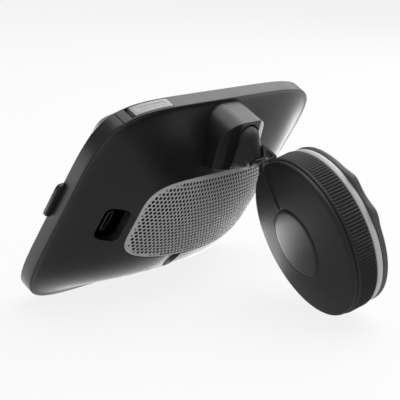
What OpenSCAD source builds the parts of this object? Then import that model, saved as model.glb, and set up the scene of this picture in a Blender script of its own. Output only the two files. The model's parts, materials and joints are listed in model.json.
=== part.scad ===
// Portable navigator standing on its lower edge and on its folded-out windscreen mount.
// The case is drawn upright: X across the screen, Y from the screen to the back, Z up the screen.
// standing() then leans it back until the mount's disc touches the table.

/* [Case] */
// Width of the case
case_w = 121.5; // [118:0.5:126]
// Height of the case
case_h = 83; // [81:0.5:88]
// Roundness of the outline, higher is squarer
corner_power = 5.9; // [5:0.1:7]
// Depth of the straight side band behind the widest outline
band_depth = 5.5; // [5.3:0.1:6.5]
// Depth of the sloping bezel in front of the widest outline
front_depth = 4.1; // [3.9:0.1:4.5]
// How far the bezel's face is drawn in from the outline
front_inset = 8; // [7.4:0.1:8.2]
// Wall of the front frame
frame_wall = 2.2; // [1.8:0.1:2.4]
// Depth of the ledge that seats the rear cover
cover_seat = 2; // [1.6:0.1:2.2]
// Wall of the frame outside the rear cover
seat_wall = 1.1; // [0.8:0.1:1.3]

/* [Rear cover] */
// Height of the cover's crown above the side band
cover_rise = 17.8; // [17:0.2:19]
// How far the crown sits below the middle of the case
crown_drop = 8.6; // [7.6:0.2:9.4]
// Roundness of the contours near the crown
crown_power = 2.3; // [2:0.1:3]
// Wall of the rear cover
cover_wall = 2; // [1.6:0.1:2.4]

/* [Speaker] */
// Distance of the speaker grille from the case's sides
grille_side = 24.75; // [23:0.25:28]
// Distance of the speaker grille from the case's ends, taken together
grille_ends = 50; // [49:1:52]
// Height of the grille's middle above the middle of the case
grille_z = 2; // [1:0.5:3]
// Thickness of the grille sheet
grille_t = 1; // [0.8:0.1:1.1]
// Thickness of the dust cloth
cloth_t = 0.35; // [0.2:0.05:0.4]
// Outer radius of the tube that carries the speaker
speaker_r = 15.2; // [14:0.2:15.6]
// Height of the speaker's middle above the middle of the case
speaker_z = -3; // [-5:0.5:-2]

/* [Display and board] */
// Width of the bezel beside the touch glass
bezel_side = 9.25; // [8:0.25:10.5]
// Height of the bezel above and below the touch glass
bezel_end = 9; // [8.5:0.25:10.5]
// Thickness of the touch glass
glass_t = 0.8; // [0.7:0.1:1]
// How far the display module reaches past the glass at its sides
lcd_side = 1.25; // [0.8:0.05:1.6]
// How far the display module reaches past the glass at its ends
lcd_end = 1.1; // [0.7:0.05:1.3]
// Thickness of the display module
lcd_t = 2.9; // [2.6:0.1:3]
// Sheet thickness of the display tray
tray_t = 0.5; // [0.4:0.1:0.6]
// Distance of the main board's sides inside the display module's
board_side = 3.75; // [2.75:0.25:4.75]
// Distance of the main board's ends inside the display module's
board_end = 3.6; // [3.1:0.25:4.6]
// Thickness of the main board
board_t = 1.2; // [1:0.1:1.4]
// Height of the tray's stand-offs under the board
standoff_h = 0.9; // [0.8:0.1:1]
// Thickness of the battery
battery_t = 4.4; // [4:0.1:4.6]

/* [Keys and port] */
// Length of the power button
button_l = 18; // [16:0.5:20]
// Distance of the power button's middle from the case's side
button_side = 21.75; // [20.75:0.5:23.75]
// Depth of the power button along the band
button_d = 4.2; // [3.8:0.1:4.3]
// Length of the side key
key_l = 13.7; // [12:0.1:15]
// Height of the side key's middle above the middle of the case
key_z = 3.6; // [2:0.2:5]
// How far the side key stands out
key_proud = 2.3; // [1.6:0.1:2.8]
// Travel of the button and of the key
key_travel = 0.5; // [0.3:0.1:0.5]
// Width of the port's metal shell
port_w = 8; // [7.5:0.1:8.2]
// Thickness of the port's metal shell
port_t = 3; // [2.6:0.1:3.2]
// Distance of the port from the case's side
port_side = 17.25; // [16.75:0.1:17.75]

/* [Mount socket] */
// Width of the socket housing
housing_w = 25.2; // [24:0.2:26]
// Distance of the housing's top below the top of the case
housing_drop = 1.5; // [1.4:0.1:2]
// Tilt of the housing's face, with its lower end outwards
housing_tilt = 16; // [12:1:18]
// Distance of the face's side edges from the widest outline, square to the face
housing_y = 16; // [15.6:0.1:16.4]
// Distance of the face's crown from the widest outline, square to the face
housing_crown = 18.7; // [18.2:0.1:19.2]
// Place of the housing's middle across the case
ball_x = -1.2; // [-1.6:0.1:0]
// Radius of the hinge ball
ball_r = 6.2; // [5.8:0.1:6.3]
// Width of the hinge ball between its flat sides
ball_w = 10.8; // [10:0.1:11]
// Depth of the ball's centre behind the widest outline
ball_y = 17.3; // [17.1:0.1:17.6]
// Distance of the ball's centre below the top of the case
ball_drop = 9.24; // [9.14:0.1:9.84]
// Radius of the lobe that hangs below the hinge ball
lobe_r = 5.5; // [5:0.1:5.6]
// Distance of the lobe's centre from the ball's centre
lobe_l = 5; // [4:0.1:5.2]
// Radius of the ball's side stubs
stub_r = 1.2; // [1:0.05:1.2]

/* [Mount arm] */
// Angle of the arm below the case's rear normal
fold_angle = 19.5; // [17:0.5:22]
// Twist of the disc about the arm
twist_angle = 59.2; // [54:0.5:64]
// Distance from the ball's centre to the disc's centre
arm_reach = 40.65; // [40:0.05:42]
// Radius of the arm's stem inside the ball
stem_r = 2.25; // [2:0.05:2.5]
// Thickness of the arm's web
web_t = 4; // [3:0.2:5]

/* [Mount disc] */
// Radius of the face plate
disc_r = 28.5; // [27.5:0.1:28.6]
// Height of the face plate's dome
dome_h = 3; // [2.4:0.1:3.4]
// Distance of the face plate's rim plane from the arm's axis
disc_drop = 0.4; // [0.2:0.1:0.8]
// Radius of the centre cap
cap_r = 12.5; // [11:0.1:13]
// Outer radius of the lock ring
ring_r = 29; // [28.8:0.1:29.6]
// Height of the lock ring
ring_h = 7.8; // [7.6:0.1:8.2]
// Number of ribs round the lock ring
ring_ribs = 120; // [60:2:140]
// Depth of the ring's ribs
rib_depth = 0.35; // [0.2:0.05:0.5]
// Pull of the locking stem
stem_pull = 2.4; // [2:0.1:2.6]
// Turn of the lock ring that makes the pull
lock_turn = 75; // [60:5:90]
// Radius of the locking stem
plunger_r = 5.9; // [5.4:0.1:6]
// Radius of the suction cup
cup_r = 28.6; // [28:0.1:29]
// Thickness of the suction cup's flange
cup_t = 2.4; // [2:0.1:2.8]
// Thickness of the grey lip
lip_t = 2.2; // [1.8:0.1:2.6]

/* [Hidden] */
$fn = 64;

// Clearances: still fit, sliding fit, running fit, and room beside moving faces
still_gap = 0.1;
slide_gap = 0.15;
run_gap = 0.05;
free_gap = 0.3;
past = 1;

// Colours
case_dark = [0.14, 0.14, 0.145];
case_mid = [0.19, 0.19, 0.195];
light_grey = [0.66, 0.66, 0.66];
steel = [0.72, 0.72, 0.74];
black = [0.05, 0.05, 0.05];
white = [0.9, 0.9, 0.9];

// Outline and cover shape
outline_sides = 48;
cover_seat_y = band_depth - cover_seat;
face_power = 16;
edge_y = 0.3;
bezel_rings = [[front_inset, -front_depth, face_power], [0, edge_y, corner_power], [0, band_depth, corner_power]];
cover_inset = seat_wall + still_gap;
slope_power = 2.45;
foot_power = 1.35;
outer_steps = [1, 0.93, 0.86, 0.78, 0.69, 0.59, 0.48, 0.36, 0.22, 0.07];
inner_steps = [1, 0.92, 0.83, 0.73, 0.62, 0.5, 0.36, 0.2, 0.07];

// Sizes that follow the case
grille_w = case_w - 2 * grille_side;
grille_h = case_h - grille_ends;
glass_w = case_w - 2 * bezel_side;
glass_h = case_h - 2 * bezel_end;
lcd_w = glass_w + 2 * lcd_side;
lcd_h = glass_h + 2 * lcd_end;
board_w = lcd_w - 2 * board_side;
board_h = lcd_h - 2 * board_end;
button_x = case_w / 2 - button_side;
port_x = case_w / 2 - port_side;
housing_top = case_h / 2 - housing_drop;
ball_z = case_h / 2 - ball_drop;

// Levels of the display stack
glass_y = -front_depth + still_gap;
ledge_y = glass_y + glass_t;
ledge_t = 0.6;
ledge_w = 1.5;
lcd_y = ledge_y + ledge_t;
tray_y = lcd_y + lcd_t;
room_y = tray_y - still_gap;
board_y = tray_y + tray_t + standoff_h;
board_top = board_y + board_t;
tray_wall_x = lcd_w / 2 + still_gap;
tray_wall_z = lcd_h / 2 + still_gap;
tray_round = 2.4;
ear_share = 0.3;
board_margin = 5;
function corners(x, z) = [for (sx = [-1, 1]) for (sz = [-1, 1]) [sx * x, sz * z]];
ear_places = corners(tray_wall_x + tray_t + 2.4, ear_share * lcd_h);
board_places = corners(board_w / 2 - board_margin, board_h / 2 - board_margin);
screw_r = 0.9;
screw_head_r = 1.8;
screw_head_t = 1.2;
boss_r = 2.2;

// Parts on the board
can_w = 16;
can_t = 2.5;
can_wall = 0.3;
can_side = 11;
can_end = 4;
can_x = [board_w / 2 - can_side - can_w, board_w / 2 - can_side];
can_z = -board_h / 2 + can_end;
chip_margin = 4;
chip_t = 1.2;
antenna_w = 15;
antenna_t = 4;
antenna_side = 14;
antenna_end = 1;
battery_gap = 2.3;
battery_side = 2.5;
battery_h = board_h / 2;
battery_round = 2;
battery_x = [-board_w / 2 + battery_side, -speaker_r - battery_gap];
ribbon_w = 22;
ribbon_l = 16;
ribbon_t = 0.2;
ribbon_end = 2;

// Speaker stack
speaker_wall = 1.6;
speaker_box_h = 11.7;
speaker_top = board_top + speaker_box_h;
basket_r = speaker_r - speaker_wall - 0.8;
basket_depth = 3.2;
basket_t = 0.6;
magnet_r = 8;
magnet_t = 3.9;
flange_t = 0.8;
recess_d = grille_t + cloth_t + 2 * still_gap;

// Keys
button_y = 0.8;
wall_x = case_w / 2 - frame_wall;
key_y0 = edge_y - 0.6;
key_d = 1.6;
key_flange = 1.2;
key_root = 4.2;
switch_h = 2.5;

// Port
pocket_w = 8.4;
pocket_l = 13.6;
pocket_z = -0.6;
pocket_wall = 0.9;
pocket_y = 7.6;
pocket_base_y = pocket_y - 1;
port_y = 11;
shell_t = 0.3;

// Socket
slot_w = ball_w + 2 * free_gap;
socket_r = ball_r + 0.4;
stub_l = 1.2;
lobe_lean = 47.5;
lobe_swing = 10;
lobe_gap = 0.6;
barrel_tip_r = 2.6;
barrel_end = 9;
barrel_hip = [5.95, 1.7];
housing_round = 9;
housing_foot = 14.7;
face_flat = slot_w / 2 - 0.5;
face_slope = (housing_crown - housing_y) / (housing_w / 2 - face_flat);
housing_bottom = ball_z - 2 * housing_foot;
low_screw = [8.8, 4];
high_screw = [7.2, 3.7];
socket_places = [for (sx = [-1, 1]) each [[ball_x + sx * low_screw[0], ball_z - low_screw[1]],
    [ball_x + sx * high_screw[0], ball_z + high_screw[1]]]];
socket_grip = 4.2;
socket_screw_l = cover_wall + socket_grip;
ball_centre = [ball_x, ball_y, ball_z];

// Arm, along Y from the ball to the disc, with the suction side towards Z
collar_y = barrel_end + 0.2;
neck_y = arm_reach - disc_r;
collar_t = 0.7;
ear_low = 2.85;
ear_root = [5, 4.85];
ear_tip = [arm_reach - ring_r - free_gap, 7.1];
ear_t = 1.2;
spine_x = 1.5;
spine_t = 1.4;
swivel_seat = -3.4;
swivel_head_r = 3.1;

// Disc levels, measured from the face plate's rim plane towards the suction side
plate_t = 2.2;
plate_side = 1.8;
chamfer = 0.9;
dome_r = disc_r - chamfer;
cap_floor = -dome_h + 1.1;
rim_top = disc_drop + plate_side;
ring_z = plate_side + 0.2;
drum_t = 1.6;
ring_play = 0.2;
drum_z = ring_z + ring_h + ring_play - drum_t;
cup_z = drum_z + drum_t;
lip_z = cup_z + cup_t;
lip_end = lip_z + lip_t;
web_ring_t = 1.2;
web_ring_z = drum_z - web_ring_t - ring_play;
boss_out = 8.6;
hub_in = 9;
hub_out = 12;
pin_r = 1;
pin_z = 5.2;
pin_l = 21;
ramp_low = pin_z + pin_r + still_gap;
ramp_steps = 5;
cleat_w = 2 * PI * hub_in * lock_turn / ramp_steps / 360;
foot_r = 12;
foot_t = 0.8;
foot_level = lip_z + 0.9;
lip_w = 6.5;
bump_r = 6;
bump_angle = 13;
bump_proud = 1.6;
ring_wall = 2.2;
mount_screw_ring = 7.3;

// A number with its sign kept, raised to a power
function signed_pow(v, p) = sign(v) * pow(abs(v), p);
// Rounded outline of width w and height h at one angle
function bow_point(a, w, h, power) =
    [signed_pow(cos(a), 2 / power) * w / 2, signed_pow(sin(a), 2 / power) * h / 2];
function bow_angle(k) = (k + 0.5) * 360 / outline_sides;
function outline(inset, power = corner_power) = [for (k = [0:outline_sides - 1])
    bow_point(bow_angle(k), case_w - 2 * inset, case_h - 2 * inset, power)];
// The outline as a ring of points at depth y
function outline_ring(inset, y, power = corner_power) = [for (p = outline(inset, power)) [p[0], y, p[1]]];

// Height of the cover over the band, where s runs from 0 at the crown to 1 at the rim
function crown_height(s) = cover_rise * pow(1 - pow(s, slope_power), foot_power);
function contour_power(s) = crown_power + (corner_power - crown_power) * s * s;
// One contour of the cover, inset from the case outline
function contour(s, inset, y) = [for (k = [0:outline_sides - 1])
    let (p = bow_point(bow_angle(k), case_w - 2 * inset, case_h - 2 * inset, contour_power(s)))
    [s * p[0], y, s * p[1] - crown_drop * (1 - s)]];
function inside_contour(x, z, s) =
    pow(abs(2 * x / (case_w - 2 * cover_inset)), contour_power(s))
    + pow(abs(2 * (z + crown_drop * (1 - s)) / (case_h - 2 * cover_inset)), contour_power(s))
    < pow(s, contour_power(s));
function contour_at(x, z, low = 0, high = 1, turns = 24) =
    turns == 0 ? high
    : inside_contour(x, z, (low + high) / 2) ? contour_at(x, z, low, (low + high) / 2, turns - 1)
    : contour_at(x, z, (low + high) / 2, high, turns - 1);
// Depth of the cover's outer face behind the widest outline
function cover_y(x, z) = band_depth + crown_height(contour_at(x, z));
// Level of the flat that a socket screw's head seats on, inside the cover
function screw_seat(p) = cover_y(p[0], p[1]) - cover_wall - 1;

// Lean at which the case's lower rear edge and the disc both touch the table
function lean_down(l) = [0, -sin(l), cos(l)];
function arm_axis() = [0, cos(fold_angle), -sin(fold_angle)];
function disc_axis() = [-sin(twist_angle), cos(twist_angle) * sin(fold_angle),
    cos(twist_angle) * cos(fold_angle)];
function disc_point(z) = ball_centre + arm_reach * arm_axis() + (disc_drop + z) * disc_axis();
function lowest_on_circle(l, z, r) =
    lean_down(l) * disc_point(z) - r * sqrt(1 - pow(lean_down(l) * disc_axis(), 2));
function disc_low(l) = min(lowest_on_circle(l, ring_z, ring_r), lowest_on_circle(l, ring_z + ring_h, ring_r),
    lowest_on_circle(l, lip_end, cup_r));
// Lowest corner of the outline drawn in by inset
function foot_z(inset) = outline(inset)[outline_sides * 3 / 4][1];
function edge_low(l) = lean_down(l) * [0, band_depth, foot_z(0)];
function lean_solve(low, high, turns) =
    turns == 0 ? (low + high) / 2
    : disc_low((low + high) / 2) > edge_low((low + high) / 2)
        ? lean_solve((low + high) / 2, high, turns - 1)
        : lean_solve(low, (low + high) / 2, turns - 1);
lean = lean_solve(0, 45, 30);
// Extent of the standing object along Y, and its middle across X
back_edge = max([for (c = [[ring_z, ring_r], [ring_z + ring_h, ring_r], [lip_end, cup_r]])
    let (d = [0, cos(lean), sin(lean)]) d * disc_point(c[0]) + c[1] * sqrt(1 - pow(d * disc_axis(), 2))]);
front_edge = min([for (b = bezel_rings) b[1] * cos(lean) + foot_z(b[0]) * sin(lean)]);
stand_shift = [-key_proud / 2, -(back_edge + front_edge) / 2, -edge_low(lean)];

// Placing
module standing() translate(stand_shift) rotate([-lean, 0, 0]) children();
module at_ball() standing() translate(ball_centre) rotate([-fold_angle, 0, 0]) children();
// The lobe's centre on the upright case, with the arm swung down
module at_lobe(swing) translate(ball_centre) rotate([-fold_angle - lobe_lean - swing, 0, 0])
    translate([0, lobe_l, 0]) children();
module at_arm() at_ball() rotate([0, -twist_angle, 0]) children();
module at_disc() at_arm() translate([0, arm_reach, disc_drop]) children();

// Shapes that repeat
module slab(y0, y1) translate([0, y1, 0]) rotate([90, 0, 0]) linear_extrude(y1 - y0) children();
module rod(x, z, r, y0, y1) translate([x, y1, z]) rotate([90, 0, 0]) cylinder(r = r, h = y1 - y0);
module block(x0, x1, y0, y1, z0, z1) translate([x0, y0, z0]) cube([x1 - x0, y1 - y0, z1 - z0]);
module rounded(w, h, r) {
    square([w - 2 * r, h], center = true);
    square([w, h - 2 * r], center = true);
    for (sx = [-1, 1]) for (sz = [-1, 1]) translate([sx * (w / 2 - r), sz * (h / 2 - r)]) circle(r);
}
module spin(profile) rotate_extrude() polygon(profile);
// Ring of revolution about Y, for the speaker
module spin_y(profile) translate([0, 0, speaker_z]) rotate([-90, 0, 0]) spin(profile);
// Closed skin through rings of equal count, with flat ends
module skin(rings) {
    n = len(rings[0]);
    last = (len(rings) - 1) * n;
    faces = [for (j = [0:len(rings) - 2]) for (i = [0:n - 1])
        let (a = j * n + i, b = j * n + (i + 1) % n) each [[a, b, b + n], [a, b + n, a + n]]];
    polyhedron([for (r = rings) each r],
        concat([[for (i = [n - 1:-1:0]) i]], faces, [[for (i = [0:n - 1]) last + i]]));
}
// Solid under the cover's outer face, lowered by drop
module crown(drop) translate([0, -drop, 0])
    skin(concat([outline_ring(cover_inset, -past)],
        [for (s = outer_steps) contour(s, cover_inset, band_depth + crown_height(s))]));
module screw(x, z, head_y, length) {
    rod(x, z, screw_head_r, head_y - screw_head_t, head_y);
    rod(x, z, screw_r, head_y - screw_head_t / 2, head_y + length);
}
module grille_outline(grow) translate([0, grille_z]) {
    n = 32;
    polygon([for (k = [0:n - 1]) bow_point((k + 0.5) * 360 / n, grille_w + 2 * grow, grille_h + 2 * grow, 4)]);
}
module pocket_outline(grow) translate([port_x - 0.5, pocket_z])
    rounded(pocket_w + 2 * grow, pocket_l + 2 * grow, 2.5);
module button_slot(grow) block(button_x - button_l / 2 - grow, button_x + button_l / 2 + grow, button_y - grow,
    button_y + button_d + grow, case_h / 2 - 8, case_h / 2 + past);
module key_slot(grow) block(tray_wall_x, case_w / 2 + 2 * key_proud, key_y0 - grow, key_y0 + key_d + grow,
    key_z - key_l / 2 - grow, key_z + key_l / 2 + grow);

// Case
module front_frame() color(case_mid) standing() difference() {
    skin([for (b = bezel_rings) outline_ring(b[0], b[1], b[2])]);
    slab(-front_depth - past, ledge_y) rounded(glass_w + 2 * still_gap, glass_h + 2 * still_gap, 4);
    slab(ledge_y - past, lcd_y + past) rounded(glass_w - 2 * ledge_w, glass_h - 2 * ledge_w, 3);
    slab(lcd_y, room_y + past) rounded(lcd_w + 2 * still_gap, lcd_h + 2 * still_gap, tray_round + 0.3);
    slab(lcd_y + 1 - still_gap, room_y + past) rounded(2 * (tray_wall_x + tray_t + still_gap),
        2 * (tray_wall_z + tray_t + still_gap), tray_round + 0.9);
    slab(room_y, band_depth + past) polygon(outline(frame_wall));
    slab(cover_seat_y, band_depth + past) polygon(outline(seat_wall));
    for (p = ear_places) rod(p[0], p[1], screw_r + run_gap, tray_y - 1.5, tray_y);
    button_slot(slide_gap);
    key_slot(slide_gap);
}

module rear_cover() color(case_dark) standing() difference() {
    skin(concat(
        [for (k = [len(inner_steps) - 1:-1:0]) let (s = inner_steps[k]) contour(s, cover_inset + cover_wall,
            max(cover_seat_y, band_depth + crown_height(s) - cover_wall))],
        [outline_ring(cover_inset, cover_seat_y)],
        [for (s = outer_steps) contour(s, cover_inset, band_depth + crown_height(s))]));
    difference() {
        slab(band_depth, band_depth + cover_rise + past) grille_outline(still_gap);
        crown(recess_d);
    }
    rod(0, speaker_z, basket_r, band_depth, band_depth + cover_rise + past);
    slab(pocket_base_y - past, band_depth + cover_rise) pocket_outline(still_gap);
    for (p = socket_places) {
        rod(p[0], p[1], screw_r + 0.2, cover_seat_y, band_depth + cover_rise);
        rod(p[0], p[1], screw_head_r + 0.2, 0, screw_seat(p));
    }
    translate(ball_centre) sphere(socket_r);
    for (swing = [0, lobe_swing]) at_lobe(swing) sphere(lobe_r + lobe_gap);
    button_slot(slide_gap);
}

module speaker_grille() color(light_grey) standing() intersection() {
    slab(band_depth, band_depth + cover_rise + past) grille_outline(0);
    difference() {
        crown(still_gap);
        crown(still_gap + grille_t);
    }
}

module grille_cloth() color(black) standing() intersection() {
    slab(band_depth, band_depth + cover_rise + past) grille_outline(-0.5);
    difference() {
        crown(2 * still_gap + grille_t - 0.05);
        crown(2 * still_gap + grille_t - 0.05 + cloth_t);
    }
}

// Display and board
module touch_glass() color(black) standing() slab(glass_y, ledge_y) rounded(glass_w, glass_h, 4);

module lcd_panel() color([0.3, 0.3, 0.33]) standing()
    slab(lcd_y, tray_y) rounded(lcd_w, lcd_h, tray_round + 0.2);

module lcd_tray() color(steel) standing() difference() {
    union() {
        slab(lcd_y + 1, tray_y + tray_t)
            rounded(2 * (tray_wall_x + tray_t), 2 * (tray_wall_z + tray_t), tray_round + 0.8);
        for (p = ear_places) slab(tray_y, tray_y + tray_t) translate(p) circle(boss_r);
        for (p = ear_places) slab(tray_y, tray_y + tray_t)
            translate([sign(p[0]) * tray_wall_x, p[1]]) square([4, 2 * boss_r], center = true);
        for (p = board_places) rod(p[0], p[1], boss_r, tray_y, board_y);
    }
    slab(lcd_y, tray_y) rounded(2 * tray_wall_x, 2 * tray_wall_z, tray_round);
    for (p = ear_places) rod(p[0], p[1], screw_r + still_gap, tray_y - past, tray_y + tray_t + past);
    for (p = board_places) rod(p[0], p[1], screw_r + run_gap, tray_y, board_y + past);
}

module tray_screws() color(steel) standing() for (p = ear_places) {
    rod(p[0], p[1], screw_head_r, tray_y + tray_t, tray_y + tray_t + screw_head_t);
    rod(p[0], p[1], screw_r, tray_y - 1.4, tray_y + tray_t);
}

module main_board() color([0.05, 0.22, 0.12]) standing() difference() {
    slab(board_y, board_top) rounded(board_w, board_h, 4);
    for (p = board_places) rod(p[0], p[1], screw_r + still_gap, board_y - past, board_top + past);
}

module board_screws() color(steel) standing() for (p = board_places) {
    rod(p[0], p[1], screw_head_r, board_top, board_top + screw_head_t);
    rod(p[0], p[1], screw_r, tray_y + still_gap, board_top);
}

module display_ribbon() color([0.72, 0.45, 0.12]) standing()
    block(-ribbon_w / 2, ribbon_w / 2, tray_y + tray_t, tray_y + tray_t + ribbon_t,
        -board_h / 2 + ribbon_end, -board_h / 2 + ribbon_end + ribbon_l);

module main_chip() color(black) standing() block(can_x[0] + chip_margin, can_x[1] - chip_margin, board_top,
    board_top + chip_t, can_z + chip_margin, can_z + can_w - chip_margin);

module shield_can() color(steel) standing() difference() {
    block(can_x[0], can_x[1], board_top, board_top + can_t, can_z, can_z + can_w);
    block(can_x[0] + can_wall, can_x[1] - can_wall, board_top - past, board_top + can_t - can_wall,
        can_z + can_wall, can_z + can_w - can_wall);
}

module gps_antenna() color([0.75, 0.7, 0.6]) standing()
    translate([board_w / 2 - antenna_side - antenna_w, board_top, board_h / 2 - antenna_end - antenna_w])
        cube([antenna_w, antenna_t, antenna_w]);

module battery_pack() color([0.55, 0.56, 0.6]) standing()
    translate([(battery_x[0] + battery_x[1]) / 2, 0, 0]) slab(board_top, board_top + battery_t)
        rounded(battery_x[1] - battery_x[0], battery_h, battery_round);

// Speaker
module speaker_box() color(black) standing() spin_y([[speaker_r - speaker_wall, board_top],
    [speaker_r, board_top], [speaker_r, speaker_top], [speaker_r - speaker_wall, speaker_top]]);

module speaker_frame() color(steel) standing() spin_y([[0, speaker_top - basket_depth],
    [basket_r, speaker_top - basket_depth], [basket_r, speaker_top], [speaker_r, speaker_top],
    [speaker_r, speaker_top + flange_t], [basket_r - basket_t, speaker_top + flange_t],
    [basket_r - basket_t, speaker_top - basket_depth + basket_t], [0, speaker_top - basket_depth + basket_t]]);

module speaker_cone() color(black) standing() {
    rim = basket_r - basket_t - 0.2;
    spin_y([[0, speaker_top - 1.3], [3.5, speaker_top - 1.7], [rim - 1.5, speaker_top], [rim, speaker_top],
        [rim, speaker_top + 0.4], [rim - 1.7, speaker_top + 0.4], [3.4, speaker_top - 1.2], [0, speaker_top - 0.8]]);
}

module speaker_magnet() color(steel) standing()
    spin_y([[0, speaker_top - basket_depth - magnet_t], [magnet_r, speaker_top - basket_depth - magnet_t],
        [magnet_r, speaker_top - basket_depth], [0, speaker_top - basket_depth]]);

module speaker_gasket() color(black) standing() intersection() {
    spin_y([[basket_r, speaker_top + flange_t], [speaker_r, speaker_top + flange_t],
        [speaker_r, band_depth + cover_rise], [basket_r, band_depth + cover_rise]]);
    crown(cover_wall + 0.5);
}

// Port
module port_cup() color(case_dark) standing() difference() {
    union() {
        intersection() {
            slab(pocket_base_y, band_depth + cover_rise) pocket_outline(0);
            crown(still_gap);
        }
        slab(pocket_base_y, pocket_y - 0.2) pocket_outline(0.6);
    }
    slab(pocket_y, band_depth + cover_rise) pocket_outline(-pocket_wall);
    slab(pocket_base_y - past, pocket_y + past) translate([port_x, pocket_z])
        square([port_t + 2 * still_gap, port_w + 2 * still_gap], center = true);
}

module usb_socket() color(steel) standing() translate([port_x, 0, pocket_z]) difference() {
    slab(board_top, port_y) rounded(port_t, port_w, 0.6);
    slab(board_top + 1, port_y + past) rounded(port_t - 2 * shell_t, port_w - 2 * shell_t, 0.4);
}

module usb_tongue() color(black) standing() translate([port_x, 0, pocket_z])
    slab(board_top + 1, port_y - 0.8) square([0.8, port_w - 2.4], center = true);

// Keys
module power_button() color([0.78, 0.78, 0.78]) standing() {
    intersection() {
        slab(button_y, button_y + button_d) difference() {
            polygon(outline(-0.25));
            polygon(outline(frame_wall + slide_gap));
        }
        button_slot(0);
    }
    intersection() {
        slab(button_y, cover_seat_y - 0.3) difference() {
            polygon(outline(frame_wall + slide_gap));
            polygon(outline(frame_wall + slide_gap + 1));
        }
        block(button_x - button_l / 2 - key_flange, button_x + button_l / 2 + key_flange, 0, band_depth,
            case_h / 2 - 12, case_h / 2);
    }
    block(button_x - 1, button_x + 1, board_top + 0.4, board_top + 1.8, board_h / 2 + 2 + key_travel,
        case_h / 2 - frame_wall - 0.3);
}

module power_switch() color(steel) standing() {
    block(button_x - 3, button_x + 3, board_top, board_top + switch_h, board_h / 2 - 4, board_h / 2);
    block(button_x - 1, button_x + 1, board_top + 0.5, board_top + 1.7, board_h / 2, board_h / 2 + 1.8);
}

module side_key() color(case_mid) standing() {
    slab(key_y0, key_y0 + key_d) translate([case_w / 2, key_z]) polygon([[-key_root, -key_l / 2],
        [key_proud - 0.5, -key_l / 2 + 0.5], [key_proud, -key_l / 2 + 1.6], [key_proud, key_l / 2 - 2],
        [key_proud - 0.7, key_l / 2 - 1], [-key_root, key_l / 2]]);
    block(wall_x - slide_gap - 1, wall_x - slide_gap, tray_y, cover_seat_y - free_gap,
        key_z - key_l / 2 - key_flange, key_z + key_l / 2 + key_flange);
}

module side_switch() color(steel) standing()
    block(tray_wall_x + tray_t, case_w / 2 - key_root - key_travel - still_gap, tray_y, tray_y + switch_h,
        key_z - 2.5, key_z + 2.5);

// Mount socket
module housing_outline() {
    half = housing_w / 2;
    rise = housing_top - housing_bottom;
    translate([ball_x - half, housing_bottom]) square([housing_w, rise - housing_round]);
    for (s = [-1, 1])
        translate([ball_x + s * (half - housing_round), housing_top - housing_round]) circle(housing_round);
    translate([ball_x - half + housing_round, housing_bottom]) square([housing_w - 2 * housing_round, rise]);
}

module socket_housing() color(case_dark) standing() difference() {
    intersection() {
        slab(band_depth, 2 * housing_crown) housing_outline();
        translate([ball_x, 0, ball_z]) rotate([housing_tilt, 0, 0]) translate([0, 0, -housing_foot])
            linear_extrude(housing_top) polygon([[-housing_w, 0], [housing_w, 0],
                [housing_w, housing_y - face_slope * housing_w / 2], [face_flat, housing_crown],
                [-face_flat, housing_crown], [-housing_w, housing_y - face_slope * housing_w / 2]]);
    }
    crown(-still_gap);
    translate(ball_centre) intersection() {
        union() {
            sphere(socket_r);
            rotate([-90, 0, 0]) cylinder(r = socket_r, h = housing_crown);
            block(-slot_w, slot_w, -socket_r, housing_crown, -housing_top, 0);
        }
        block(-slot_w / 2, slot_w / 2, -socket_r, housing_crown, -housing_top, housing_top);
    }
    translate(ball_centre) rotate([0, 90, 0])
        cylinder(r = stub_r + run_gap, h = ball_w + 2 * stub_l + 2 * free_gap, center = true);
    for (p = socket_places)
        rod(p[0], p[1], screw_r + run_gap, band_depth, screw_seat(p) + socket_screw_l + 0.2);
}

module socket_screws() color(steel) standing() for (p = socket_places)
    screw(p[0], p[1], screw_seat(p), socket_screw_l);

module hinge_barrel() color(case_dark) at_ball() difference() {
    union() {
        intersection() {
            union() {
                sphere(ball_r);
                rotate([-90 - lobe_lean, 0, 0]) cylinder(r1 = ball_r, r2 = lobe_r, h = lobe_l);
                rotate([-lobe_lean, 0, 0]) translate([0, lobe_l, 0]) sphere(lobe_r);
                rotate([-90, 0, 0]) spin([[0, 0], [barrel_hip[0], barrel_hip[1]], [barrel_tip_r, barrel_end],
                    [0, barrel_end]]);
            }
            block(-ball_w / 2, ball_w / 2, -ball_r, barrel_end, -lobe_l - lobe_r, ball_r);
        }
        rotate([0, 90, 0]) cylinder(r = stub_r, h = ball_w + 2 * stub_l, center = true);
    }
    rod(0, 0, stem_r + run_gap, -ball_r - past, barrel_end + past);
    rod(0, 0, swivel_head_r + 0.2, -ball_r - past, swivel_seat);
}

module swivel_screw() color(steel) at_arm() {
    rod(0, 0, swivel_head_r, swivel_seat - 1.3, swivel_seat - still_gap);
    rod(0, 0, screw_r, swivel_seat - still_gap, 2);
}

// Mount arm: a sheet across the arm, drawn in the plane of its length and the disc's axis
module arm_sheet(t) rotate([90, 0, 90]) linear_extrude(t, center = true) children();

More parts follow.
